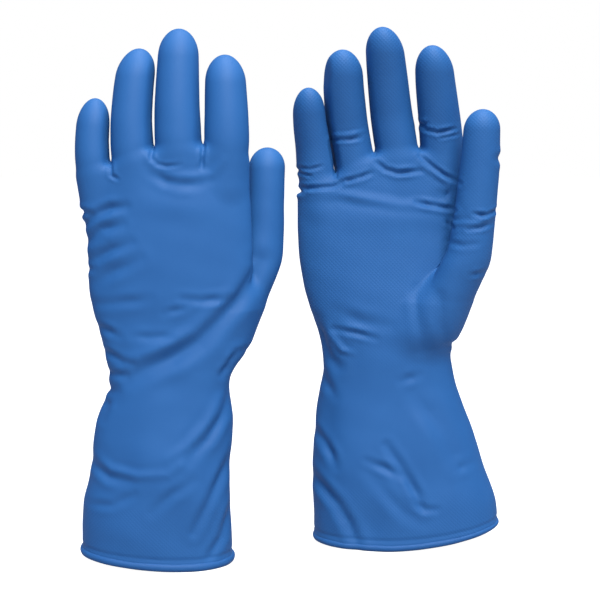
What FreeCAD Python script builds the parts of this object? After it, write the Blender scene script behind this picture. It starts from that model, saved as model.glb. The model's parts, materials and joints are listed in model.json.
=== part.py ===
"""Pair of household rubber gloves, filled out as if worn, standing on their cuff rims.

Frame: +Z up, fingers up; +X to the thumb side of both gloves; +Y is away from the viewer. The left
glove shows its back and bends its fingers towards +Y, the right glove shows its palm and bends them
towards -Y. Each glove is described in its own coordinates: x across the hand, v from the back towards
the palm, z up from the rim. Every zone of the film that can move against its neighbour is its own solid.
"""
import FreeCAD, Part
import math
import os

# Film
WALL = 0.7               # thickness of the latex film with its texture
SEAM = 0.3               # gap between two zones that swing against each other

OVAL_POWER = 2.25        # squareness of the sleeve and hand sections; 2 is a plain ellipse
OVAL_STEPS = 28          # points each section is drawn through

# Rolled bead at the rim
BEAD_R = 2.5             # radius of the roll
BEAD_SINK = 0.5          # flat on the underside, where the rim rests
BEAD_HOLD = 0.4          # depth of the sleeve's edge inside the roll

# Knuckles
AXIS_SHIFT = 0.45        # hinge line's shift towards the closing side, in finger radii
MITRE_SPARE = 1.5        # spare angle on each side of a knuckle, degrees
EXTEND = 15.0            # backward bend at a finger's root, degrees
WRIST_BEND = 40.0        # wrist bend each way, degrees
THUMB_SPREAD = 35.0      # thumb swing away from the hand, degrees
ROOT_SIDE = 0.4          # room beside a digit's root where the hand is cut back for it
OVERRUN = 7.0            # how far a zone is drawn past its knuckle before it is cut
ROOT_DEPTH = 34.0        # how far a finger's root runs down into the hand
ROOT_TAPER = 0.62        # how much narrower it is down there
TIP_COUPLING = 0.6       # tip knuckle bend per degree of middle knuckle bend
BIG = 90.0               # reach of the cutting solids

# Finger bends: root knuckle and middle knuckle, degrees
FINGER_BEND = {"index": (60, 70), "middle": (60, 70), "ring": (60, 70), "little": (50, 60)}
THUMB_BEND = 45.0

# Each glove: place of its rim's centre, palm direction along Y, and its own outline.
# Sections are (z, centre x, half width, half depth).
# Digits are chains of (x, v, z, radius): root knuckle, middle knuckle, tip knuckle, end of the tip.
GLOVES = {
    "left": {
        "place": (-74.5, -24.5),
        "palm": 1,
        "wrist_z": 103.0,
        "cuff": [(0, 0.0, 41.0, 27.0), (40, 0.0, 39.4, 24.5), (62, 2.2, 37.8, 22.5),
                 (84, 4.1, 36.6, 20.0), (104, 6.9, 33.1, 18.0)],
        "hand": [(102, 6.9, 33.1, 18.0), (122, 6.0, 38.5, 17.5), (140, 6.4, 43.0, 17.0),
                 (156, 7.2, 44.6, 16.5), (173, 7.1, 45.0, 15.5), (194, 5.8, 46.3, 14.5), (221, 3.4, 47.4, 12.5)],
        "thumb_root": (30.0, 6.0, 116.0, 13.5),
        "digits": {
            "thumb": [(57.0, 17.2, 172.0, 11.3), (58.6, 18.0, 188.0, 10.8), (59.6, 18.7, 211.0, 10.4),
                      (61.0, 20.5, 234.1, 9.6)],
            "index": [(38.3, 0.0, 238.0, 11.6), (38.3, 1.4, 253.0, 11.5), (37.8, 4.2, 268.5, 11.0),
                      (36.7, 9.5, 285.7, 9.6)],
            "middle": [(11.6, 0.0, 238.0, 12.0), (10.9, 1.7, 258.0, 11.9), (11.3, 5.6, 279.0, 11.3),
                       (11.6, 12.0, 300.0, 9.8)],
            "ring": [(-13.9, 0.0, 233.0, 11.2), (-14.6, 1.5, 250.5, 11.1), (-13.2, 5.0, 269.5, 10.6),
                     (-10.4, 11.0, 289.0, 9.4)],
            "little": [(-35.9, 0.0, 226.5, 9.3), (-36.4, 1.0, 238.0, 9.3), (-35.6, 3.2, 249.8, 8.9),
                       (-33.9, 6.4, 261.7, 7.9)],
        },
    },
    "right": {
        "place": (65.5, 21.5),
        "palm": -1,
        "wrist_z": 112.0,
        "cuff": [(0, 0.0, 52.5, 30.0), (30, -3.2, 51.0, 27.5), (53, -6.0, 48.2, 25.0),
                 (76, -9.5, 43.6, 22.0), (98, -11.4, 38.0, 19.0), (113, -12.2, 36.4, 18.0)],
        "hand": [(111, -12.2, 36.4, 18.0), (128, -11.5, 40.0, 17.5), (144, -10.4, 45.4, 17.0),
                 (161, -12.5, 47.3, 16.0), (179, -13.6, 48.0, 15.0), (198, -14.8, 48.2, 14.0),
                 (218, -14.6, 47.2, 12.5)],
        "thumb_root": (14.0, 5.0, 118.0, 13.0),
        "digits": {
            "thumb": [(36.8, 19.5, 172.0, 11.7), (38.6, 21.0, 190.0, 11.3), (41.5, 23.5, 224.0, 10.6),
                      (43.9, 23.5, 254.1, 9.4)],
            "index": [(21.5, 0.0, 231.5, 11.5), (20.0, 2.4, 248.0, 11.4), (17.0, 8.8, 268.5, 10.9),
                      (14.1, 20.5, 290.5, 9.4)],
            "middle": [(-5.0, 0.0, 232.5, 11.8), (-8.3, 2.7, 253.0, 11.7), (-11.2, 10.4, 277.0, 11.1),
                       (-14.6, 23.5, 300.6, 9.6)],
            "ring": [(-30.8, 0.0, 228.0, 11.4), (-34.1, 2.4, 246.0, 11.4), (-36.1, 9.5, 266.0, 11.1),
                     (-37.0, 21.0, 288.2, 9.6)],
            "little": [(-51.9, 0.0, 220.0, 8.8), (-53.6, 1.8, 233.5, 8.8), (-55.1, 6.4, 248.5, 8.5),
                       (-55.9, 15.5, 265.9, 7.6)],
        },
    },
}


class Placing:
    """Turns a glove's own x, v, z into the shared frame."""

    def __init__(self, glove):
        self.x0, self.y0 = glove["place"]
        self.palm = glove["palm"]

    def point(self, x, v, z):
        return FreeCAD.Vector(self.x0 + x, self.y0 + self.palm * v, z)

    def towards_palm(self):
        return FreeCAD.Vector(0, self.palm, 0)


def unit(vector):
    return FreeCAD.Vector(vector).normalize()


def section(placing, row, inset):
    """One closed, slightly squared oval across the glove, drawn in by inset."""
    z, x, half_width, half_depth = row
    points = []
    for step in range(OVAL_STEPS):
        turn = 2 * math.pi * step / OVAL_STEPS
        cosine, sine = math.cos(turn), math.sin(turn)
        across = math.copysign(abs(cosine) ** (2 / OVAL_POWER), cosine) * (half_width - inset)
        deep = math.copysign(abs(sine) ** (2 / OVAL_POWER), sine) * (half_depth - inset)
        points.append(placing.point(x + across, placing.palm * deep, z))
    oval = Part.BSplineCurve()
    oval.interpolate(points, PeriodicFlag=True)
    return Part.Wire([oval.toShape()])


def sleeve(placing, rows, inset):
    """Solid of stacked ovals."""
    return Part.makeLoft([section(placing, row, inset) for row in rows], True, False)


def tube(a, radius_a, b, radius_b, before, after):
    """Solid cone on the line from a to b, drawn past a by before and past b by after."""
    line = b - a
    length = line.Length
    along = unit(line)
    slope = (radius_b - radius_a) / length
    start = a - along * before
    if abs(slope) < 1e-6:
        return Part.makeCylinder(radius_a, length + before + after, start, along)
    return Part.makeCone(radius_a - slope * before, radius_b + slope * after,
                         length + before + after, start, along)


def knuckles(placing, chain):
    """Hinge line, direction and radius of a digit's three knuckles.

    The hinge line lies towards the palm of the middle line, and the direction halves the bend there.
    """
    points = [placing.point(x, v, z) for x, v, z, radius in chain]
    result = []
    for index in range(3):
        ahead = unit(points[index + 1] - points[index])
        behind = unit(points[index] - points[index - 1]) if index else FreeCAD.Vector(0, 0, 1)
        along = unit(ahead + behind)
        along.x = 0.0
        along = unit(along)
        palmward = FreeCAD.Vector(0, placing.palm * along.z, -placing.palm * along.y)
        radius = chain[index][3]
        result.append({"point": points[index] + palmward * (AXIS_SHIFT * radius),
                       "along": along, "closing": palmward, "radius": radius})
    return result


def spread_knuckle(placing, chain):
    """The thumb's root knuckle: it swings across the hand, so its hinge line runs along Y."""
    x, v, z, radius = chain[0]
    return {"point": placing.point(x + AXIS_SHIFT * radius, v, z),
            "along": FreeCAD.Vector(0, 0, 1), "closing": FreeCAD.Vector(1, 0, 0), "radius": radius}


def wedge(knuckle, bend, extend, side, reach, width, depth):
    """Solid beyond one knuckle that a zone has to be clear of.

    side +1 is everything past the knuckle, which is cut from the zone below it; side -1 is everything
    before it, cut from the zone above. On the closing side the face leans back by half the bend.
    """
    lean_close = math.tan(math.radians(bend / 2 + MITRE_SPARE)) if bend else 0.0
    lean_open = math.tan(math.radians(extend / 2 + MITRE_SPARE)) if extend else 0.0
    along = knuckle["along"]
    closing = knuckle["closing"]
    across = along.cross(closing)
    edge = -side * SEAM / 2
    outline = [(-reach, edge - side * reach * lean_open), (0, edge), (reach, edge - side * reach * lean_close),
               (reach, side * depth), (-reach, side * depth)]
    corners = [knuckle["point"] + closing * c + along * s - across * width for c, s in outline]
    face = Part.Face(Part.makePolygon(corners + corners[:1]))
    return face.extrude(across * (2 * width))


def thimble(a, radius_a, b, radius_b, before, inset):
    """Round-ended cone from a whose outermost point is at b."""
    along = unit(b - a)
    dome = radius_b - inset
    centre = b - along * radius_b
    body = tube(a, radius_a - inset, centre, dome, before, 0)
    return body.fuse(Part.makeSphere(dome, centre))


def digit_zones(placing, name, chain, bends):
    """Base, middle and tip films of one finger or thumb."""
    points = [placing.point(x, v, z) for x, v, z, radius in chain]
    radii = [row[3] for row in chain]
    joints = knuckles(placing, chain)
    if name == "thumb":
        joints[0] = spread_knuckle(placing, chain)
    extends = [0 if name == "thumb" else EXTEND, 0, 0]
    zones = []
    for index in range(3):
        if index < 2:
            solids = [tube(points[index], radii[index] - inset, points[index + 1], radii[index + 1] - inset,
                           OVERRUN + 3 * inset, OVERRUN + 3 * inset) for inset in (0, WALL)]
        else:
            solids = [thimble(points[2], radii[2], points[3], radii[3], OVERRUN + 3 * inset, inset)
                      for inset in (0, WALL)]
        film = solids[0].cut(solids[1])
        film = film.cut(wedge(joints[index], bends[index], extends[index], -1, BIG, BIG, BIG))
        if index < 2:
            film = film.cut(wedge(joints[index + 1], bends[index + 1], extends[index + 1], 1, BIG, BIG, BIG))
        zones.append(film)
    return zones


def digit_bends(name):
    """Bend of the three knuckles in degrees."""
    if name == "thumb":
        return THUMB_SPREAD, THUMB_BEND, THUMB_BEND * TIP_COUPLING
    root, middle = FINGER_BEND[name]
    return root, middle, middle * TIP_COUPLING


def wrist_knuckle(placing, glove):
    rows = glove["hand"]
    return {"point": placing.point(rows[0][1], 0, glove["wrist_z"]),
            "along": FreeCAD.Vector(0, 0, 1), "closing": placing.towards_palm(), "radius": rows[0][3]}


def digit_root(placing, glove, name, inset):
    """Tube that carries a digit down into the hand, drawn past the digit's root knuckle."""
    chain = glove["digits"][name]
    top = placing.point(*chain[0][:3])
    radius = chain[0][3] - inset
    past = OVERRUN + 3 * inset
    if name != "thumb":
        end = placing.point(*chain[1][:3])
        narrow = chain[0][3] * ROOT_TAPER - inset
        into_hand = top - unit(end - top) * ROOT_DEPTH
        root = tube(into_hand, narrow, top, radius, 0, 0)
        return root.fuse(tube(top, radius, end, chain[1][3] - inset, 0, past - (end - top).Length))
    x, v, z, root_radius = glove["thumb_root"]
    bottom = placing.point(x, v, z)
    ball = Part.makeSphere(root_radius - inset, bottom)
    return ball.fuse(tube(bottom, root_radius - inset, top, radius, 0, past))


def root_wedge(placing, glove, name, reach, width):
    """Solid past a digit's root knuckle that the hand has to be clear of."""
    chain = glove["digits"][name]
    joint = spread_knuckle(placing, chain) if name == "thumb" else knuckles(placing, chain)[0]
    extend = 0 if name == "thumb" else EXTEND
    return wedge(joint, digit_bends(name)[0], extend, 1, reach, width, BIG)


def hand_film(placing, glove):
    """Palm and back shell with the open roots of the five digits."""
    layers = []
    for inset in (0, WALL):
        rows = [list(row) for row in glove["hand"]]
        rows[0][0] -= 2 * OVERRUN + 3 * inset
        rows[-1][0] -= inset
        solid = sleeve(placing, rows, inset)
        for name in glove["digits"]:
            root = digit_root(placing, glove, name, inset)
            if not inset:
                root = root.cut(root_wedge(placing, glove, name, BIG, BIG))
            solid = solid.fuse(root)
        layers.append(solid)
    film = layers[0].cut(layers[1])
    for name, chain in glove["digits"].items():
        radius = chain[0][3]
        if name != "thumb":
            film = film.cut(root_wedge(placing, glove, name, 2 * radius, radius + ROOT_SIDE))
    film = film.cut(wedge(wrist_knuckle(placing, glove), WRIST_BEND, WRIST_BEND, -1, BIG, BIG, BIG))
    return film


def cuff_film(placing, glove):
    """Sleeve from the bead to the wrist."""
    layers = []
    for inset in (0, WALL):
        rows = [list(row) for row in glove["cuff"]]
        rows[0][0] = 2 * BEAD_R - BEAD_SINK - BEAD_HOLD - 3 * inset
        rows[-1][0] += 3 * inset
        layers.append(sleeve(placing, rows, inset))
    film = layers[0].cut(layers[1])
    return film.cut(wedge(wrist_knuckle(placing, glove), WRIST_BEND, WRIST_BEND, 1, BIG, BIG, BIG))


def bead(placing, glove):
    """Rolled rim: a round roll along the sleeve's edge, flat where it rests."""
    z, x, half_width, half_depth = glove["cuff"][0]
    height = BEAD_R - BEAD_SINK
    path = section(placing, (height, x, half_width, half_depth), WALL / 2)
    start = placing.point(x + half_width - WALL / 2, 0, height)
    ring = Part.Wire([Part.makeCircle(BEAD_R, start, FreeCAD.Vector(0, 1, 0))])
    roll = path.makePipeShell([ring], True, True)
    under = Part.makeBox(4 * BIG, 4 * BIG, BIG, FreeCAD.Vector(-2 * BIG, -2 * BIG, -BIG))
    return roll.cut(under)


def one_solid(shape, name):
    """The single solid of a shape; a zone that fell apart stops the build."""
    if len(shape.Solids) != 1:
        raise RuntimeError("%s has %d solids" % (name, len(shape.Solids)))
    return shape.Solids[0]


def build():
    os.makedirs("parts", exist_ok=True)
    for side, glove in GLOVES.items():
        placing = Placing(glove)
        nodes = {"cuff_bead": bead(placing, glove), "cuff": cuff_film(placing, glove),
                 "hand": hand_film(placing, glove)}
        for name, chain in glove["digits"].items():
            for zone, film in zip(("base", "mid", "tip"), digit_zones(placing, name, chain, digit_bends(name))):
                nodes[name + "_" + zone] = film
        for name, shape in nodes.items():
            solid = one_solid(shape, side + "_" + name)
            solid.exportStep("parts/%s_%s.step" % (side, name))


build()
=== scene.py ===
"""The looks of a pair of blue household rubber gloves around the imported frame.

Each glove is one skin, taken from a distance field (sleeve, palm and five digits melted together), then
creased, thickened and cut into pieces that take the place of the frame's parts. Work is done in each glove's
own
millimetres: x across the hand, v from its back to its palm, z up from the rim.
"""

import json
import math

import bpy
import numpy as np
import openvdb
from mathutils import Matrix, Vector


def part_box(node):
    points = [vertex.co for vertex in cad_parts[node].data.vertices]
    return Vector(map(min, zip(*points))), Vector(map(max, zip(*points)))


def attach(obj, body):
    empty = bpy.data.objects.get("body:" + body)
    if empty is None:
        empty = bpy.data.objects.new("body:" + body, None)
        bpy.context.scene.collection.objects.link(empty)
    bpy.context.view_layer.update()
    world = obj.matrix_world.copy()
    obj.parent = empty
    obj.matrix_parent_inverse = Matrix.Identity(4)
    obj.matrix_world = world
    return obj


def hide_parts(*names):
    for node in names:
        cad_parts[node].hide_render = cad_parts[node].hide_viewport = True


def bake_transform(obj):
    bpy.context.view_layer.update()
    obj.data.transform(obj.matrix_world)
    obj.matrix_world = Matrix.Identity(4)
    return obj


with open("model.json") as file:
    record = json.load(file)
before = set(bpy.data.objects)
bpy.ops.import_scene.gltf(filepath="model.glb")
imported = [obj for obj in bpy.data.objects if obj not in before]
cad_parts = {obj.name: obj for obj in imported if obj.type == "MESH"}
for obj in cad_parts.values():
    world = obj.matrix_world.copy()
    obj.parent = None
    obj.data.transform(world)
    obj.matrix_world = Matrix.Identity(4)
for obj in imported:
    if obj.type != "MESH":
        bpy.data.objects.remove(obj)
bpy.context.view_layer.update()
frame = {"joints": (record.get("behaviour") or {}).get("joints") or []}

MM = 0.001
SIDES = ("left", "right")
FINGERS = ("index", "middle", "ring", "little")
DIGITS = ("thumb",) + FINGERS

# Skin
CELL = 0.9              # mesh size of the skin
FILM = 0.9              # thickness of the film
CORE_CELLS = 3          # cells kept around the outline
OVAL_POWER = 2.35       # squareness of the sleeve and palm sections
BEAD_R = {"left": 2.6, "right": 2.1}    # radius of the rolled rim
BEAD_Z = 2.0            # height of the roll's middle, so that its underside is flat
HEM_Z = 6.6             # height of the groove over the rolled rim
HEM_DEPTH = 0.4
HEM_WIDTH = 1.0
FOLD_DEPTH = 1.35       # overall strength of the folds
FOLD_LIP = 0.35         # height of the lips beside a fold, as a share of its depth
FOLD_REACH = 4.5        # how far from its line a fold acts, in half widths
FOLD_FADE = 0.3         # share of its length over which a fold runs out at either end
FOLD_END = 0.35         # what is left of its depth at the very end
FAR_DEPTH = 0.7         # the far face borrows the other glove's folds, this much shallower
FAR_WIDTH = 1.2         # and this much wider
FAR_EVERY = 3           # taking one fold in so many
UNEVEN = 0.28           # height of the film's slow unevenness
RIPPLE = 0.10           # height of its finer unevenness
BEAD_SINK = 1.3         # how far the roll's middle lies inside the film's outer face
PARTING = 1.6           # least gap kept between neighbouring fingers
PARTING_LEAN = 17.0     # degrees by which such a gap leans, so that nothing shows through it
AXIS_SHIFT = 0.45       # how far the frame's hinge lines lie towards the closing side, in digit radii

TIP_LENGTH = {"finger": 15.5, "thumb": 12.0}    # length over which an end is rounded off
TIP_POWER = 2.1         # how full that rounding is, 2 being an ellipse
TIP_SINK = 0.8          # how far the very end lies behind the finger pad, in end radii
# How far a digit's end lies beside and above the frame's
TIP_SHIFT = {"left": {"ring": (1.4, 0.0)},
             "right": {"thumb": (-1.7, 1.6), "index": (0.7, 0.0), "ring": (1.7, 0.0), "little": (2.2, 1.0)}}
# How far a digit's root and middle knuckles lie beside the frame's
KNUCKLE_SHIFT = {"left": {}, "right": {"little": (1.0, 1.0)}}
ROOT_DEPTH = 36.0       # how far a finger's tube reaches down into the palm
FOOT_SHARE = 0.75       # radius of that tube's foot, as a share of the root's
FOOT_LENGTH = 12.0      # length over which a foot is rounded off
WEB_ROUND = 5.0         # how softly the fingers run into the palm
PARTING_ROUND = 1.5     # how softly a finger's side runs into its parting
# How softly the thumb runs into the palm: (height from its root knuckle, reach)
THUMB_ROUND = ((-28.0, 16.0), (-6.0, 0.8))
OWNER_REACH = 2.0       # how near to a digit's own shape the skin has to be to belong to it
BEND_SPARE = 0.5        # stiff film kept beside a bend
BEND_SHARE = 0.92       # length of a bend as a share of radius times turn
WRIST_REACH = 24.0      # half the length of sleeve over which the wrist bends
GRIP_PITCH = 1.5        # spacing of the crossing grooves of the grip pattern
# Room for a glove's skin: low and high corner
SKIN_BOX = {"left": ((-59.0, -34.0, -6.0), (76.0, 48.0, 308.0)),
            "right": ((-72.0, -34.0, -6.0), (60.0, 48.0, 308.0))}

# Radii of each digit at its root, middle and tip knuckles and at its end
RADII = {
    "left": {"thumb": (12.8, 11.4, 10.6, 10.1), "index": (12.8, 12.2, 11.6, 10.6),
             "middle": (13.4, 12.6, 11.8, 10.8), "ring": (12.3, 11.7, 11.2, 10.2),
             "little": (9.9, 9.5, 9.3, 8.8)},
    "right": {"thumb": (12.8, 12.0, 11.2, 10.0), "index": (12.8, 12.2, 11.5, 10.1),
              "middle": (12.8, 12.2, 11.5, 10.2), "ring": (13.0, 12.6, 12.0, 10.8),
              "little": (11.8, 10.8, 10.0, 9.0)},
}

# The outline of sleeve and palm without the digits: (z, low x, high x, half depth)
OUTLINE = {
    "left": [(-8, -45.0, 41.0, 27.5), (4, -44.8, 40.6, 27.0), (18, -44.4, 40.0, 26.0),
             (34, -43.6, 39.4, 25.0), (46, -40.6, 38.8, 24.0), (58, -38.4, 39.6, 23.0),
             (70, -37.6, 41.2, 22.0), (82, -35.8, 41.6, 21.0),
             (92, -32.0, 40.4, 20.0), (99, -28.2, 38.8, 18.5), (106, -27.8, 39.4, 17.8),
             (116, -29.8, 41.8, 17.5), (128, -32.0, 43.6, 17.5), (140, -35.6, 49.0, 17.2),
             (152, -38.8, 52.4, 16.8), (166, -39.4, 53.0, 16.0), (180, -39.4, 52.4, 15.2),
             (192, -40.0, 52.2, 14.4), (202, -40.0, 51.8, 13.8), (212, -42.0, 51.0, 12.8),
             (224, -45.0, 50.0, 11.8), (240, -46.0, 50.0, 11.0)],
    "right": [(-8, -52.4, 56.6, 30.5), (4, -52.4, 56.6, 30.0), (18, -52.8, 55.8, 28.5),
              (30, -53.6, 51.8, 27.5), (46, -53.6, 46.6, 25.5), (58, -52.8, 44.2, 24.2),
              (70, -52.0, 40.4, 22.6), (82, -51.4, 35.4, 21.0),
              (94, -48.6, 30.8, 19.5), (104, -46.4, 28.4, 18.5), (113, -47.2, 26.6, 18.0),
              (121, -49.6, 24.4, 17.8), (130, -51.8, 29.0, 17.6), (140, -55.2, 32.0, 17.4),
              (150, -58.2, 34.0, 17.0), (162, -60.2, 35.0, 16.2), (174, -61.6, 34.6, 15.4),
              (188, -62.2, 34.2, 14.6), (200, -62.4, 33.8, 13.8), (208, -61.6, 33.6, 13.0),
              (216, -61.8, 33.4, 12.2), (236, -61.0, 33.4, 11.0)],
}

# Where the web between two fingers lies, from the thumb side: (x, z)
WEBS = {"left": [(52, 228), (25, 235), (-2, 233), (-25, 225), (-46, 219)],
        "right": [(34, 222), (8, 231), (-17, 229), (-41, 216), (-62, 209)]}

# The thumb's root inside the palm: x, v, z, radius
THUMB_ROOT = {"left": (31.0, 6.0, 114.0, 14.5), "right": (13.0, 5.0, 118.0, 13.5)}

# Where the rim is lowest (x) and how far it lifts towards its low-x and high-x ends
RIM_LIFT = {"left": (22.0, 5.8, 0.5), "right": (-13.0, 1.5, 10.5)}
LIFT_POWER = 1.7        # how late that lift comes
LIFT_UP = 62.0          # how high up the sleeve it reaches

# Folds on the face turned to the viewer: line in x and z, depth (below 0 is a raised ridge), half width
FOLDS = {
    "left": [
        # below the middle and index fingers
        ([(-4, 231), (1, 226), (6, 225), (14, 226)], 0.6, 1.0),
        ([(0, 221), (6, 217), (13, 215), (23, 215)], 0.8, 2.6),
        ([(-6, 232), (-1, 224), (6, 220), (19, 219), (31, 221), (37, 228)], -0.5, 2.2),
        ([(26, 236), (25, 224)], 1.2, 1.0),
        ([(-25, 226), (-25, 220), (-21, 218)], 0.9, 1.0),
        ([(-2, 234), (-3, 228)], 0.7, 1.0),
        # wrinkles spreading from the little finger's side
        ([(-43, 191), (-38, 195), (-32, 199), (-25, 202), (-17, 203)], 1.3, 2.2),
        ([(-43, 181), (-38, 184), (-31, 190), (-19, 193)], 1.1, 2.3),
        ([(-41, 171), (-34, 174), (-25, 179), (-14, 183)], 1.0, 2.4),
        ([(-34, 160), (-24, 167), (-9, 174)], 0.8, 2.8),
        ([(-36, 148), (-19, 150), (-4, 152)], 0.6, 2.5),
        # across the root of the thumb
        ([(14, 152), (25, 151), (39, 152)], 0.8, 2.0),
        ([(4, 144), (18, 148)], 0.5, 1.8),
        # long fold from the thumb to the wrist
        ([(57, 171), (52, 162), (46, 152), (36, 141), (23, 128), (8, 119), (-6, 113), (-15, 108)], 2.1, 4.2),
        ([(51, 168), (44, 157), (34, 147), (21, 135), (5, 126), (-8, 121), (-17, 117)], -0.7, 3.0),
        # wrist
        ([(44, 121), (40, 115), (35, 109)], 1.2, 1.8),
        ([(-35, 136), (-29, 134), (-22, 131)], 0.9, 2.0),
        ([(-33, 122), (-28, 121), (-20, 117), (-14, 116)], 0.9, 2.0),
        ([(-31, 110), (-25, 109), (-18, 109)], 0.8, 1.8),
        ([(-13, 131), (8, 131)], 0.5, 2.0),
        # sleeve
        ([(-27, 97), (-30, 91), (-32, 84)], 0.9, 2.4),
        ([(41, 100), (36, 86), (28, 74), (17, 63)], 1.3, 2.6),
        ([(34, 96), (27, 83), (16, 70), (6, 64)], -0.6, 2.4),
        ([(-41, 63), (-35, 57), (-27, 52), (-15, 50)], 0.9, 2.6),
        ([(-33, 64), (-26, 57), (-11, 54), (6, 55), (19, 66)], -0.5, 2.2),
        ([(43, 66), (38, 58), (31, 45), (25, 33), (20, 22)], 1.3, 2.5),
        ([(43, 40), (39, 28), (35, 17), (29, 8)], 1.3, 2.3),
        ([(-3, 33), (8, 44), (19, 51)], 0.7, 2.5),
        ([(-38, 34), (-25, 36), (-13, 43)], 0.5, 2.2),
    ],
    "right": [
        # finger knuckles
        ([(7, 248), (11, 244), (18, 242), (28, 244)], 1.4, 1.1),
        ([(19, 239), (24, 240), (30, 241)], 0.7, 0.9),
        ([(-42, 241), (-34, 241), (-24, 243)], -0.5, 1.0),
        ([(-43, 238), (-33, 238), (-26, 239)], 1.0, 1.0),
        ([(-62, 222), (-55, 221), (-48, 223)], 0.8, 0.9),
        ([(-62, 219), (-54, 217)], 0.7, 0.9),
        # finger roots
        ([(-64, 211), (-57, 210), (-42, 211), (-37, 213)], 1.3, 1.2),
        ([(-38, 214), (-32, 215), (-25, 217), (-20, 219)], 1.3, 1.2),
        ([(-44, 237), (-42, 227), (-40, 216)], 0.8, 0.9),
        ([(-17, 225), (-12, 221), (-5, 219), (9, 220)], 1.5, 1.3),
        ([(7, 225), (12, 221), (20, 216), (28, 211)], -0.6, 1.4),
        ([(8, 229), (15, 223), (22, 218), (30, 214)], 1.1, 1.1),
        # head of the palm
        ([(-58, 206), (-38, 207), (-21, 204), (-4, 201), (14, 200), (27, 197)], -0.7, 2.4),
        ([(6, 202), (16, 200), (27, 198)], 1.5, 1.4),
        ([(21, 207), (26, 206)], 1.2, 2.6),
        ([(24, 191), (26, 188)], 1.0, 1.3),
        # root of the thumb
        ([(37, 197), (45, 196), (52, 199)], 1.3, 1.1),
        ([(27, 191), (39, 192), (50, 197)], -0.6, 1.3),
        ([(34, 188), (41, 189), (49, 191)], 1.0, 1.1),
        ([(24, 180), (31, 179), (40, 180)], 0.5, 1.6),
        ([(36, 162), (45, 163)], 0.7, 1.4),
        # ball of the thumb
        ([(14, 156), (14, 138), (16, 124)], -0.5, 3.4),
        ([(6, 153), (7, 138), (9, 127), (9, 117)], 0.5, 2.5),
        ([(20, 150), (20, 134), (22, 121)], 0.6, 2.5),
        # wrist
        ([(-40, 140), (-26, 134), (-9, 131)], 0.8, 3.2),
        ([(-41, 129), (-28, 127), (-17, 124)], 1.1, 1.6),
        ([(-52, 134), (-48, 120), (-44, 112), (-39, 107)], 2.0, 3.2),
        ([(-42, 125), (-36, 117), (-30, 115)], -0.8, 1.6),
        ([(-3, 99), (8, 102)], 0.6, 2.2),
        ([(-49, 108), (-46, 97), (-41, 89)], 0.8, 2.6),
        # sleeve
        ([(-55, 70), (-47, 62), (-43, 56), (-40, 48)], 1.2, 2.4),
        ([(-57, 44), (-48, 35), (-39, 26), (-33, 16), (-28, 4)], 1.7, 3.0),
        ([(-11, 62), (-4, 52), (2, 42), (7, 33), (11, 24)], 1.1, 2.3),
        ([(-22, 53), (-12, 49), (-3, 44)], 0.9, 2.0),
        ([(5, 91), (15, 80), (24, 66), (29, 53)], 1.0, 4.2),
        ([(12, 88), (21, 72), (27, 60)], -0.3, 3.0),
        ([(-22, 47), (-11, 34), (0, 22), (11, 15)], 0.6, 3.2),
        ([(5, 29), (11, 24), (18, 23)], 0.7, 1.9),
        ([(29, 46), (38, 48)], 0.5, 2.6),
    ],
}

# Broad swells (height below 0: hollows) on the same face: middle in x and z, half size, height
SWELLS = {
    "left": [((8, 185), (24, 26), 1.2), ((10, 204), (20, 8), 0.9), ((-4, 96), (14, 10), 1.0),
             ((0, 56), (30, 26), 2.2), ((8, 60), (16, 22), 1.0), ((-20, 60), (9, 26), -1.2),
             ((22, 40), (10, 16), 1.2),
             ((-14, 22), (14, 12), 1.3), ((46, 140), (12, 18), -1.4), ((-10, 138), (16, 8), -0.9),
             ((22, 108), (14, 12), 1.3), ((40, 84), (6, 20), -1.0), ((-30, 165), (8, 20), -0.8)],
    "right": [((-12, 132), (30, 36), 2.8), ((-16, 176), (24, 22), 0.8), ((-46, 188), (12, 18), 1.1),
              ((24, 146), (10, 26), 1.6),
              ((0, 194), (28, 7), 1.1), ((-16, 108), (14, 12), 1.1), ((6, 138), (9, 22), 1.2),
              ((-30, 60), (14, 24), 1.3), ((10, 64), (12, 20), 1.5), ((-46, 80), (7, 22), -1.4),
              ((30, 30), (14, 22), 1.3), ((-8, 28), (12, 14), 1.0), ((-43, 16), (8, 12), 0.7),
              ((-20, 16), (9, 14), -1.3)],
}

# Nicks that run round the edge of the outline
NICKS = {
    "left": [([(50, 122), (46, 121)], 0.6, 2.2), ([(-45, 199), (-37, 199)], 1.2, 1.8),
             ([(-33, 100), (-23, 100)], 0.8, 2.2), ([(-44, 166), (-36, 168)], 0.7, 1.8)],
    "right": [([(9, 247), (12, 247)], 1.2, 1.2), ([(-66, 208), (-58, 208)], 1.5, 1.4),
              ([(50, 228), (57, 228)], 0.9, 2.2), ([(-66, 220), (-60, 220)], 0.7, 1.1),
              ([(38, 119), (24, 120)], 0.8, 2.0)],
}


# ---------------------------------------------------------------- places taken from the frame

def hinge_names(digit):
    """The names of a digit's three hinges, from its root to its end."""
    first = "spread" if digit == "thumb" else "root_bend"
    return ["%s_%s" % (digit, name) for name in (first, "mid_bend", "tip_bend")]


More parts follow.
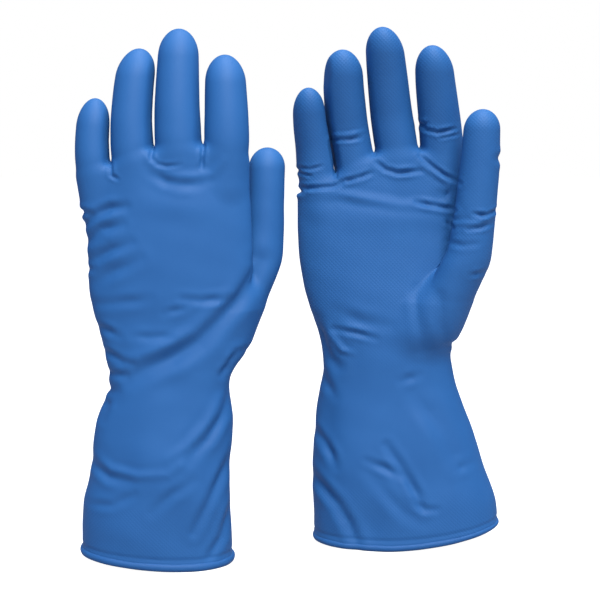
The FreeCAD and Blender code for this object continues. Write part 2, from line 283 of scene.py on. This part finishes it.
class Glove:
    """One glove's own coordinates and the digits' middle lines, worked out from the frame."""

    def __init__(self, side):
        self.side = side
        low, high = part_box(side + "_cuff_bead")
        self.x0 = (low.x + high.x) / 2
        self.y0 = (low.y + high.y) / 2
        self.joints = {j["name"]: j for j in frame["joints"] if j["name"].startswith(side)}
        self.palm = 1.0 if self.hinge("wrist_bend")["axis"][0] < 0 else -1.0
        self.chains = {digit: self.chain(digit) for digit in DIGITS}

    def hinge(self, name):
        return self.joints[self.side + "_" + name]

    def own(self, point):
        """A frame point in the glove's own millimetres."""
        return np.array([(point[0] - self.x0) / MM, (point[1] - self.y0) * self.palm / MM, point[2] / MM])

    def world(self, points):
        """Own millimetres to frame metres."""
        points = np.atleast_2d(points)
        moved = points * [1.0, self.palm, 1.0] * MM
        return moved + [self.x0, self.y0, 0.0]

    def chain(self, digit):
        """Middle line of a digit: four points with the radius at each."""
        hinges = [self.own(self.hinge(name)["pos_m"]) for name in hinge_names(digit)]
        radii = RADII[self.side][digit]
        low, high = (self.own(corner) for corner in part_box("%s_%s_tip" % (self.side, digit)))
        points = []
        for index, hinge in enumerate(hinges):
            shift = AXIS_SHIFT * radii[index]
            if digit == "thumb" and index == 0:
                points.append(hinge - [shift, 0.0, 0.0])
                continue
            ahead = hinges[min(index + 1, 2)] - hinges[max(index - 1, 0)]
            ahead = ahead / np.linalg.norm(ahead)
            points.append(hinge - shift * np.array([0.0, ahead[2], -ahead[1]]))
        for index, beside in enumerate(KNUCKLE_SHIFT[self.side].get(digit, ())):
            points[index] = points[index] + [beside, 0.0, 0.0]
        slope = (points[2] - points[1]) / (points[2][2] - points[1][2])
        end = points[2] + slope * (high[2] - points[2][2])
        beside, above = TIP_SHIFT[self.side].get(digit, (0.0, 0.0))
        end += [beside, 0.0, above]
        end[1] = max(low[1], high[1]) - TIP_SINK * radii[3]
        points.append(end)
        return [(point, radius) for point, radius in zip(points, radii)]


# ---------------------------------------------------------------- distance field

def smooth_min(a, b, reach):
    """Lower of two fields, rounded over reach where they meet."""
    near = np.maximum(reach - np.abs(a - b), 0.0) / reach
    return np.minimum(a, b) - near * near * reach * 0.25


def smooth_max(a, b, reach):
    """Higher of two fields, rounded over reach where they meet."""
    return -smooth_min(-a, -b, reach)


def rounded(heights, values, fine):
    """Values given at a few heights, as a curve over fine heights with its corners rounded."""
    half, spread = 12, 4.0
    kernel = np.exp(-0.5 * (np.arange(-half, half + 1) / spread) ** 2)
    padded = np.pad(np.interp(fine, heights, values), half, mode="reflect", reflect_type="odd")
    return np.convolve(padded, kernel / kernel.sum(), mode="valid")


def smooth_table(rows, z, column):
    """A column of an outline at heights z."""
    table = np.array(rows, float)
    fine = np.arange(table[0, 0], table[-1, 0] + 1.0)
    return np.interp(z, fine, rounded(table[:, 0], table[:, column], fine))


def tube_field(knots, points, tip):
    """A soft tube through knots (x, v, z, radius), rounded off over tip at its top and over a foot below."""
    table = np.array(knots, float)
    x, v, z = points.T
    fine = np.arange(table[0, 2], table[-1, 2] + 1.0)
    radius = np.interp(z, fine, rounded(table[:, 2], table[:, 3], fine))
    away = np.zeros(len(z))
    for column, value in ((0, x), (1, v)):
        line = rounded(table[:, 2], table[:, column], fine)
        upright = 1.0 / np.hypot(1.0, np.gradient(line))
        away += ((value - np.interp(z, fine, line)) * np.interp(z, fine, upright)) ** 2
    above = np.maximum(z - (table[-1, 2] - tip), 0.0) / tip
    below = np.maximum(table[0, 2] + FOOT_LENGTH - z, 0.0) / FOOT_LENGTH
    level = np.sqrt(away / radius ** 2 + above ** TIP_POWER + below ** TIP_POWER)
    return (level - 1.0) * radius


def sleeve_field(glove, points):
    """Sleeve and palm: a squared oval that changes with height, closed over the webs."""
    rows = OUTLINE[glove.side]
    x, v, z = points.T
    low = smooth_table(rows, z, 1)
    high = smooth_table(rows, z, 2)
    depth = smooth_table(rows, z, 3)
    middle, width = (low + high) / 2, (high - low) / 2
    across = np.abs(x - middle) / width
    deep = np.abs(v) / depth
    level = (across ** OVAL_POWER + deep ** OVAL_POWER + 1e-9) ** (1 / OVAL_POWER)
    slope = np.hypot((across / level) ** (OVAL_POWER - 1) / width, (deep / level) ** (OVAL_POWER - 1) / depth)
    side = (level - 1.0) / np.maximum(slope, 1e-4)
    web = np.array(WEBS[glove.side][::-1], float)
    top = z - np.interp(x, web[:, 0], web[:, 1])
    return smooth_max(side, top, WEB_ROUND)


def finger_field(chain, points):
    """One finger from the middle of the palm's thickness to its round end."""
    knots = [[*point, radius] for point, radius in chain]
    lean = (chain[0][0] - chain[1][0]) / np.linalg.norm(chain[0][0] - chain[1][0])
    start = chain[0][0] + lean * ROOT_DEPTH
    start[1] = 0.0
    return tube_field([[*start, chain[0][1] * FOOT_SHARE]] + knots, points, TIP_LENGTH["finger"])


def thumb_field(glove, points):
    """The thumb from inside the ball of the hand to its round end."""
    knots = [[*point, radius] for point, radius in glove.chains["thumb"]]
    return tube_field([THUMB_ROOT[glove.side]] + knots, points, TIP_LENGTH["thumb"])


def middle_at(chain, z):
    """Middle line and radius of a finger at heights z."""
    knots = np.array([[*point, radius] for point, radius in chain])
    return [np.interp(z, knots[:, 2], knots[:, column]) for column in (0, 1, 3)]


def finger_fields(glove, points):
    """The four fingers' fields, with a leaning gap kept between each finger and the next."""
    fields = {name: finger_field(glove.chains[name], points) for name in FINGERS}
    x, v, z = points.T
    lean = math.radians(PARTING_LEAN)
    for name, other in zip(FINGERS, FINGERS[1:]):
        (ax, av, ar), (bx, bv, br) = (middle_at(glove.chains[which], z) for which in (name, other))
        share = ar / (ar + br)
        across = math.cos(lean) * (ax + share * (bx - ax) - x)
        plane = across + math.sin(lean) * (v - av - share * (bv - av))
        fields[name] = smooth_max(fields[name], plane + PARTING / 2, PARTING_ROUND)
        fields[other] = smooth_max(fields[other], PARTING / 2 - plane, PARTING_ROUND)
    return fields


def skin_field(glove, points):
    """Signed distance to the glove's outside, in millimetres."""
    body = sleeve_field(glove, points)
    field = body
    for finger in finger_fields(glove, points).values():
        field = np.minimum(field, smooth_min(body, finger, WEB_ROUND))
    crotch = glove.chains["thumb"][0][0][2]
    (low, low_reach), (high, high_reach) = THUMB_ROUND
    reach = np.interp(points[:, 2], [crotch + low, crotch + high], [low_reach, high_reach])
    return smooth_min(field, thumb_field(glove, points), reach)


# ---------------------------------------------------------------- skin mesh

def extract(glove):
    """Quads on the field's zero level, drawn onto the exact surface."""
    low, high = (np.array(corner) for corner in SKIN_BOX[glove.side])
    counts = np.ceil((high - low) / CELL).astype(int) + 1
    axes = [low[i] + CELL * np.arange(counts[i]) for i in range(3)]
    values = np.empty(tuple(counts), np.float32)
    grid_x, grid_v = np.meshgrid(axes[0], axes[1], indexing="ij")
    for layer, z in enumerate(axes[2]):
        points = np.column_stack([grid_x.ravel(), grid_v.ravel(), np.full(grid_x.size, z)])
        values[:, :, layer] = skin_field(glove, points).reshape(grid_x.shape)
    band = CORE_CELLS * CELL
    grid = openvdb.FloatGrid(band)
    grid.copyFromArray(np.clip(values, -band, band))
    points, _, quads = grid.convertToPolygons(0.0)
    points = points * CELL + low
    for _ in range(2):
        points = project(glove, points)
    return points, quads


def project(glove, points):
    """One Newton step of points onto the field's zero level."""
    step, least_slope = 0.2, 0.2
    value = skin_field(glove, points)
    slope = np.empty_like(points)
    for axis in range(3):
        ahead = points.copy()
        ahead[:, axis] += step
        slope[:, axis] = (skin_field(glove, ahead) - value) / step
    size = np.maximum((slope ** 2).sum(axis=1), least_slope)
    return points - slope * (value / size)[:, None]


# ---------------------------------------------------------------- creases

def fold_push(points, facing, line, depth, width):
    """How far one fold moves each point along its normal: a groove with a low lip on either side."""
    line = np.array(line, float)
    reach = FOLD_REACH * width
    flat = points[:, [0, 2]]
    inside = ((flat > line.min(axis=0) - reach) & (flat < line.max(axis=0) + reach)).all(axis=1)
    near = flat[inside]
    lengths = np.linalg.norm(np.diff(line, axis=0), axis=1)
    starts = np.concatenate([[0.0], np.cumsum(lengths)])
    best = np.full(len(near), 1e9)
    along = np.zeros(len(near))
    for index, length in enumerate(lengths):
        start, end = line[index], line[index + 1]
        share = np.clip((near - start) @ (end - start) / length ** 2, 0.0, 1.0)
        away = np.linalg.norm(near - (start + share[:, None] * (end - start)), axis=1)
        nearer = away < best
        best[nearer] = away[nearer]
        along[nearer] = (starts[index] + share * length)[nearer] / starts[-1]
    ends = np.clip(np.minimum(along, 1.0 - along) / FOLD_FADE, 0.0, 1.0)
    wander = 0.8 + 0.2 * np.sin(along * 9.0 + line[0, 0])
    groove = np.exp(-(best / width) ** 2)
    lips = np.exp(-((best - 2.0 * width) / width) ** 2)
    shape = (groove - FOLD_LIP * lips) * (FOLD_END + (1.0 - FOLD_END) * ends) * wander
    push = np.zeros(len(points))
    push[inside] = -FOLD_DEPTH * depth * shape * facing[inside]
    return push


def relief(glove, points, normals):
    """All of a glove's folds and swells and the unevenness of its film, which is calmer on the fingers."""
    side = glove.side
    viewer = -1.0 if side == "left" else 1.0
    facing = np.clip(0.35 + 1.6 * viewer * normals[:, 1], 0.0, 1.0)
    away = np.clip(-1.3 * viewer * normals[:, 1], 0.0, 1.0)
    everywhere = np.ones(len(points))
    push = np.zeros(len(points))
    for line, depth, width in FOLDS[side]:
        push += fold_push(points, facing, line, depth, width)
    for line, depth, width in FOLDS["right" if side == "left" else "left"][::FAR_EVERY]:
        push += fold_push(points, away, line, depth * FAR_DEPTH, width * FAR_WIDTH)
    for line, depth, width in NICKS[side]:
        push += fold_push(points, everywhere, line, depth, width)
    for spot, size, height in SWELLS[side]:
        away_by = (points[:, [0, 2]] - spot) / size
        push += height * np.exp(-(away_by ** 2).sum(axis=1)) * facing
    x, v, z = points.T
    shift = 1.7 if side == "left" else 0.4      # so that the two gloves differ
    calm = np.interp(z, [200.0, 235.0], [1.0, 0.25])
    push += UNEVEN * calm * np.sin(x / 9.0 + shift + z / 31.0) * np.sin(z / 12.0 + 0.7 * shift - x / 23.0)
    push += RIPPLE * calm * np.sin(x / 4.1 + z / 6.3 + shift) * np.sin(z / 5.2 - x / 7.1 + v / 8.0)
    push -= HEM_DEPTH * np.exp(-((z - HEM_Z) / HEM_WIDTH) ** 2)
    return push


def lift(glove, points):
    """Points of the low sleeve and rim, raised towards the rim's two ends."""
    lowest, low, high = RIM_LIFT[glove.side]
    _, low_x, high_x, _ = OUTLINE[glove.side][0]
    beside = points[:, 0] - lowest
    span = np.where(beside > 0, high_x - lowest, lowest - low_x)
    rise = np.where(beside > 0, high, low) * np.clip(np.abs(beside) / span, 0.0, 1.2) ** LIFT_POWER
    fade = np.clip(1.0 - points[:, 2] / LIFT_UP, 0.0, 1.0)
    moved = points.copy()
    moved[:, 2] += rise * fade
    return moved


# ---------------------------------------------------------------- meshes

def vertex_normals(points, quads):
    """Area-weighted normals of a quad mesh."""
    a, b, c, d = (points[quads[:, i]] for i in range(4))
    faces = np.cross(c - a, d - b)
    normals = np.zeros_like(points)
    for corner in range(4):
        np.add.at(normals, quads[:, corner], faces)
    return normals / np.maximum(np.linalg.norm(normals, axis=1), 1e-9)[:, None]


def skin(glove):
    """One glove's outer and inner points, normals and quads, cut off at the rim.

    The outer points as they lie before folding come second.
    """
    points, quads = extract(glove)
    keep = points[quads][:, :, 2].mean(axis=1) > BEAD_Z
    quads = quads[keep]
    used = np.unique(quads)
    renumber = np.full(len(points), -1)
    renumber[used] = np.arange(len(used))
    points, quads = points[used], renumber[quads]
    points[points[:, 2] < BEAD_Z + 0.45 * CELL, 2] = BEAD_Z
    normals = vertex_normals(points, quads)
    middle = np.array([points[:, 0].mean(), 0.0, 0.0])
    if ((points - middle)[:, :2] * normals[:, :2]).sum() < 0:
        quads = quads[:, ::-1]
        normals = -normals
    folded = lift(glove, points + normals * relief(glove, points, normals)[:, None])
    return (folded, folded - normals * FILM, vertex_normals(folded, quads), quads), points


def wall_edges(quads):
    """Directed edges that only one quad of a set uses."""
    edges = np.concatenate([quads[:, [i, (i + 1) % 4]] for i in range(4)])
    start, end = edges.astype(np.int64).T
    base = quads.max() + 1      # makes one number of an edge's two ends
    return edges[~np.isin(start * base + end, end * base + start)]


def piece(glove, name, film, chosen, material):
    """A closed piece of film from the chosen quads: outside, inside and the walls between."""
    outer, inner, normals, quads = film
    part = quads[chosen]
    used = np.unique(part)
    renumber = np.full(len(outer), -1)
    renumber[used] = np.arange(len(used))
    count = len(used)
    local = renumber[part]
    edges = wall_edges(local)
    walls = np.column_stack([edges[:, 1], edges[:, 0], edges[:, 0] + count, edges[:, 1] + count])
    faces = np.concatenate([local, local[:, ::-1] + count, walls])
    own = np.concatenate([outer[used], inner[used]])
    own_normals = np.concatenate([normals[used], -normals[used]])
    thing = add_mesh(glove, name, own, faces, grip_share(own, own_normals, count), material)
    turned = own_normals * [1.0, glove.palm, 1.0]
    corner_normals = turned[np.array([loop.vertex_index for loop in thing.data.loops])]
    thing.data.normals_split_custom_set(corner_normals.tolist())
    return thing


def add_mesh(glove, name, own, faces, grip, material):
    """A smooth object from points in the glove's own millimetres, which it keeps for its material."""
    if glove.palm < 0:
        faces = faces[:, ::-1]
    mesh = bpy.data.meshes.new(name)
    mesh.from_pydata(glove.world(own).tolist(), [], faces.tolist())
    mesh.shade_smooth()
    mesh.attributes.new("rest", "FLOAT_VECTOR", "POINT")
    mesh.attributes["rest"].data.foreach_set("vector", own.astype(np.float32).ravel())
    mesh.attributes.new("grip", "FLOAT", "POINT")
    mesh.attributes["grip"].data.foreach_set("value", grip.astype(np.float32))
    mesh.materials.append(material)
    thing = bpy.data.objects.new(name, mesh)
    bpy.context.scene.collection.objects.link(thing)
    return thing


def grip_share(own, own_normals, count):
    """How strongly the moulded grip pattern shows: over the palm side and in a band above the rim."""
    palm_side = np.clip(1.6 * own_normals[:, 1], 0.0, 1.0) * np.interp(own[:, 2], [100.0, 128.0], [0.0, 1.0])
    band = np.interp(own[:, 2], [7.0, 9.0, 33.0, 38.0], [0.0, 0.6, 0.6, 0.0])
    share = np.maximum(palm_side, band)
    share[count:] = 0.0     # none on the inside
    return share


def digit_frames(glove, digit):
    """The hinge middles of a digit with the direction of the digit at each."""
    chain = glove.chains[digit]
    points = [point for point, _ in chain]
    frames = []
    for index in range(3):
        ahead = points[index + 1] - points[index]
        behind = points[index] - points[index - 1] if index else ahead
        line = ahead / np.linalg.norm(ahead) + behind / np.linalg.norm(behind)
        frames.append((points[index], line / np.linalg.norm(line), chain[index][1]))
    return frames


def bend_reach(glove, name, radius):
    """Half the length over which the film bends at a hinge, long enough not to fold over itself."""
    low, high = glove.hinge(name)["range_deg"]
    turn = math.radians(max(abs(low), abs(high)))
    return 0.5 * (BEND_SHARE * radius * turn + 2 * BEND_SPARE)


def owners(glove, centres):
    """Which part each place of the skin belongs to: 0 the hand and sleeve, 1 to 5 the digits."""
    body = sleeve_field(glove, centres)
    fields = finger_fields(glove, centres)
    owner = np.zeros(len(centres), int)
    near = np.full(len(centres), OWNER_REACH)
    for number, digit in enumerate(DIGITS, 1):
        thumb = digit == "thumb"
        field = thumb_field(glove, centres) if thumb else fields[digit]
        root, line, radius = digit_frames(glove, digit)[0]
        reach = bend_reach(glove, hinge_names(digit)[0], radius)
        chosen = ((centres - root) @ line > -reach - BEND_SPARE) & (field < near)
        if thumb:
            chosen &= field < body
        owner[chosen] = number
        near[chosen] = field[chosen]
    return owner


def build_glove(side, materials):
    """One glove: its skin in sixteen pieces and its rolled rim."""
    glove = Glove(side)
    film, unfolded = skin(glove)
    centres = unfolded[film[3]].mean(axis=1)
    owner = owners(glove, centres)
    hand_piece(glove, film, owner == 0, materials)
    for number, digit in enumerate(DIGITS, 1):
        digit_pieces(glove, digit, film, owner == number, centres, materials)
    bead_piece(glove, materials)


def hand_piece(glove, film, chosen, materials):
    """Sleeve and hand in one piece."""
    thing = piece(glove, glove.side + "_hand_and_cuff_skin", film, chosen, materials["latex"])
    wrist = glove.own(glove.hinge("wrist_bend")["pos_m"])
    reach = [0.0, 0.0, WRIST_REACH]
    start, end = glove.world(wrist - reach)[0], glove.world(wrist + reach)[0]
    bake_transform(thing)
    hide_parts(glove.side + "_cuff", glove.side + "_hand")


def seam_top(film, chosen, point, line):
    """How far along a digit its seam with the hand reaches, measured from the root knuckle."""
    outer, _, _, quads = film
    seam = np.intersect1d(quads[chosen], quads[~chosen])
    return ((outer[seam] - point) @ line).max()


def digit_pieces(glove, digit, film, chosen, centres, materials):
    """Three pieces of one digit, cut where the film is rigid."""
    frames = digit_frames(glove, digit)
    zones = ["%s_%s_%s" % (glove.side, digit, zone) for zone in ("base", "mid", "tip")]
    bodies = [glove.side + "_hand"] + zones
    reaches = [bend_reach(glove, hinge, frame[2]) for hinge, frame in zip(hinge_names(digit), frames)]
    (root, root_line, _), (middle, _, _), (tip, _, _) = frames
    base = np.linalg.norm(middle - root)
    first_cut = max(0.45 * base, base - reaches[1] - BEND_SPARE)
    beyond_base = (centres - root) @ (middle - root) / base > first_cut
    beyond_mid = (centres - (middle + tip) / 2) @ (tip - middle) > 0
    level = chosen.astype(int) + (chosen & beyond_base) + (chosen & beyond_mid)
    spans = [(-reach, reach) for reach in reaches]
    low = max(-reaches[0], seam_top(film, chosen, root, root_line) + 0.1)
    spans[0] = (low, max(low + 1.5, min(low + 2 * reaches[0], first_cut - 1.0)))
    for index, ((point, line, _), (low, high)) in enumerate(zip(frames, spans)):
        name = "%s_%s_%s_skin" % (glove.side, digit, ("root", "middle", "tip")[index])
        thing = piece(glove, name, film, level == index + 1, materials["latex"])
        start, end = glove.world(point + low * line)[0], glove.world(point + high * line)[0]
        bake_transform(thing)
        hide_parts(bodies[index + 1])


def bead_piece(glove, materials):
    """The rolled rim, a round roll along the sleeve's edge with a flat underside."""
    steps, ring = 200, 20
    rows = OUTLINE[glove.side]
    low, high, depth = (float(smooth_table(rows, BEAD_Z, column)) for column in (1, 2, 3))
    turn = np.arange(steps) * 2 * math.pi / steps
    squeeze = 2 / OVAL_POWER
    across = np.sign(np.cos(turn)) * np.abs(np.cos(turn)) ** squeeze * (high - low) / 2
    deep = np.sign(np.sin(turn)) * np.abs(np.sin(turn)) ** squeeze * depth
    path = np.column_stack([(low + high) / 2 + across, deep, np.full(steps, BEAD_Z)])
    along = np.roll(path, -1, axis=0) - np.roll(path, 1, axis=0)
    out = np.column_stack([along[:, 1], -along[:, 0], np.zeros(steps)])
    out /= np.linalg.norm(out, axis=1)[:, None]
    path = path + out * (relief(glove, path, out)[:, None] - BEAD_SINK)
    points = []
    for number in range(ring):
        angle = 2 * math.pi * number / ring
        direction = out * math.cos(angle) + np.array([0.0, 0.0, math.sin(angle)])
        thick = BEAD_R[glove.side] * (1 + 0.04 * np.sin(5 * turn + 1.0) + 0.03 * np.sin(11 * turn))
        spot = path + direction * thick[:, None]
        spot[:, 2] = np.maximum(spot[:, 2], 0.0)
        points.append(spot)
    own = lift(glove, np.stack(points, axis=1).reshape(-1, 3))
    faces = []
    for step in range(steps):
        for number in range(ring):
            ahead, up = (step + 1) % steps, (number + 1) % ring
            faces.append([step * ring + number, ahead * ring + number, ahead * ring + up, step * ring + up])
    no_grip = np.zeros(len(own))
    name = glove.side + "_rolled_rim"
    thing = add_mesh(glove, name, own, np.array(faces), no_grip, materials["rim"])
    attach(thing, glove.side + "_cuff")
    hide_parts(glove.side + "_cuff_bead")


# ---------------------------------------------------------------- materials

# Each material's colour and that of its darker patches
COLOURS = {"latex": ((0.023, 0.123, 0.330, 1), (0.018, 0.104, 0.292, 1)),
           "rim": ((0.021, 0.114, 0.312, 1), (0.017, 0.097, 0.276, 1))}
ROUGHNESS = (0.54, 0.68)


class Nodes:
    """Short names for building a material's nodes."""

    def __init__(self, name):
        self.material = bpy.data.materials.new(name)
        self.material.use_nodes = True
        self.tree = self.material.node_tree
        self.shader = self.tree.nodes["Principled BSDF"]

    def add(self, kind, inputs=None, **settings):
        node = self.tree.nodes.new(kind)
        for key, value in settings.items():
            setattr(node, key, value)
        for key, value in (inputs or {}).items():
            self.put(value, node.inputs[key])
        return node

    def put(self, value, socket):
        if isinstance(value, bpy.types.NodeSocket):
            self.tree.links.new(value, socket)
        else:
            socket.default_value = value


def latex(name, colour, dark):
    """Dipped latex: satin, a little uneven in colour, with the grip pattern where the mesh asks for it."""
    n = Nodes(name)
    rest = n.add("ShaderNodeAttribute", attribute_name="rest").outputs["Vector"]
    grip = n.add("ShaderNodeAttribute", attribute_name="grip").outputs["Fac"]
    across = n.add("ShaderNodeSeparateXYZ", {"Vector": rest}).outputs
    weave = []
    for sign in ("ADD", "SUBTRACT"):
        slant = n.add("ShaderNodeMath", {0: across["X"], 1: across["Z"]}, operation=sign).outputs[0]
        phase = n.add("ShaderNodeMath", {0: slant, 1: math.pi / GRIP_PITCH / math.sqrt(2.0)},
                      operation="MULTIPLY").outputs[0]
        wave = n.add("ShaderNodeMath", {0: phase}, operation="SINE").outputs[0]
        weave.append(n.add("ShaderNodeMath", {0: wave}, operation="ABSOLUTE").outputs[0])
    pips = n.add("ShaderNodeMath", {0: weave[0], 1: weave[1]}, operation="MULTIPLY").outputs[0]
    pips = n.add("ShaderNodeMath", {0: pips, 1: grip}, operation="MULTIPLY").outputs[0]
    cloud = n.add("ShaderNodeTexNoise", {"Vector": rest, "Scale": 0.05, "Detail": 3.0}).outputs["Fac"]
    grain = n.add("ShaderNodeTexNoise", {"Vector": rest, "Scale": 1.6, "Detail": 4.0}).outputs["Fac"]
    mix = n.add("ShaderNodeMix", {"Factor": cloud, "A": dark, "B": colour}, data_type="RGBA")
    n.put(mix.outputs["Result"], n.shader.inputs["Base Color"])
    rough = n.add("ShaderNodeMapRange", {"Value": grain, "To Min": ROUGHNESS[0], "To Max": ROUGHNESS[1]})
    n.put(rough.outputs["Result"], n.shader.inputs["Roughness"])
    n.shader.inputs["Specular IOR Level"].default_value = 0.28
    fine = n.add("ShaderNodeBump", {"Height": grain, "Strength": 0.15, "Distance": 0.0003})
    raised = n.add("ShaderNodeBump", {"Height": pips, "Strength": 0.5, "Distance": 0.0002,
                                      "Normal": fine.outputs["Normal"]})
    n.put(raised.outputs["Normal"], n.shader.inputs["Normal"])
    return n.material


def floor_material():
    """Pale floor that stays white to the camera without throwing much light back up."""
    n = Nodes("floor")
    spot = n.add("ShaderNodeTexCoord").outputs["Object"]
    cloud = n.add("ShaderNodeTexNoise", {"Vector": spot, "Scale": 2.0}).outputs["Fac"]
    mix = n.add("ShaderNodeMix", {"Factor": cloud, "A": (0.37, 0.37, 0.37, 1), "B": (0.39, 0.39, 0.39, 1)},
                data_type="RGBA")
    n.put(mix.outputs["Result"], n.shader.inputs["Base Color"])
    n.shader.inputs["Roughness"].default_value = 0.9
    n.shader.inputs["Emission Color"].default_value = (1, 1, 1, 1)
    seen = n.add("ShaderNodeLightPath").outputs["Is Camera Ray"]
    glow = n.add("ShaderNodeMath", {0: seen, 1: FLOOR_GLOW}, operation="MULTIPLY").outputs[0]
    n.put(glow, n.shader.inputs["Emission Strength"])
    return n.material


# ---------------------------------------------------------------- studio

CAMERA_DISTANCE = 1.0
CAMERA_RISE = 7.0        # degrees above level
CAMERA_LENS = 107.0
CAMERA_AIM = (0.0046, 0.1496)       # x and height that the camera looks at
LIGHT_AIM = (0.0, 0.0, 0.15)
LIGHTS = (("key", (0.25, -1.05, 1.55), 1.0, 44.0),      # name, place, size, power
          ("top", (0.1, 0.2, 1.7), 0.9, 18.0))
FLOOR_SIZE = 8.0
FLOOR_GLOW = 1.0
AMBIENT = (0.18, 0.26, 0.48, 1)    # how the surroundings light the gloves; the camera sees them white


def studio():
    """Pale floor, white surroundings, soft light from above and in front."""
    bpy.ops.mesh.primitive_plane_add(size=FLOOR_SIZE, location=(0, 0, 0))
    floor = bpy.context.object
    floor.name = "floor"
    floor.data.materials.append(floor_material())
    world = bpy.data.worlds.new("studio")
    bpy.context.scene.world = world
    world.use_nodes = True
    tree = world.node_tree
    seen = tree.nodes.new("ShaderNodeLightPath")
    glow = tree.nodes.new("ShaderNodeMix")
    glow.data_type = "RGBA"
    glow.inputs["A"].default_value = AMBIENT
    glow.inputs["B"].default_value = (1, 1, 1, 1)
    tree.links.new(seen.outputs["Is Camera Ray"], glow.inputs["Factor"])
    tree.links.new(glow.outputs["Result"], tree.nodes["Background"].inputs["Color"])
    for name, place, size, power in LIGHTS:
        light = bpy.data.lights.new(name, "AREA")
        light.size = size
        light.energy = power
        lamp = bpy.data.objects.new(name, light)
        lamp.location = place
        lamp.rotation_euler = (Vector(LIGHT_AIM) - Vector(place)).to_track_quat("-Z", "Y").to_euler()
        bpy.context.scene.collection.objects.link(lamp)
    bpy.context.scene.view_settings.view_transform = "Standard"


def camera():
    """A long lens a little above level, aimed at the middle of the pair."""
    low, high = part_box("left_cuff_bead")
    target = Vector((CAMERA_AIM[0], (low.y + high.y) / 2, CAMERA_AIM[1]))
    rise = math.radians(CAMERA_RISE)
    data = bpy.data.cameras.new("camera")
    data.lens = CAMERA_LENS
    thing = bpy.data.objects.new("camera", data)
    thing.location = target + CAMERA_DISTANCE * Vector((0, -math.cos(rise), math.sin(rise)))
    thing.rotation_euler = (target - thing.location).to_track_quat("-Z", "Y").to_euler()
    bpy.context.scene.collection.objects.link(thing)
    bpy.context.scene.camera = thing


studio()
camera()
MATERIALS = {"latex": latex("blue_latex", *COLOURS["latex"]),
             "rim": latex("blue_latex_rim", *COLOURS["rim"])}
for side in SIDES:
    build_glove(side, MATERIALS)
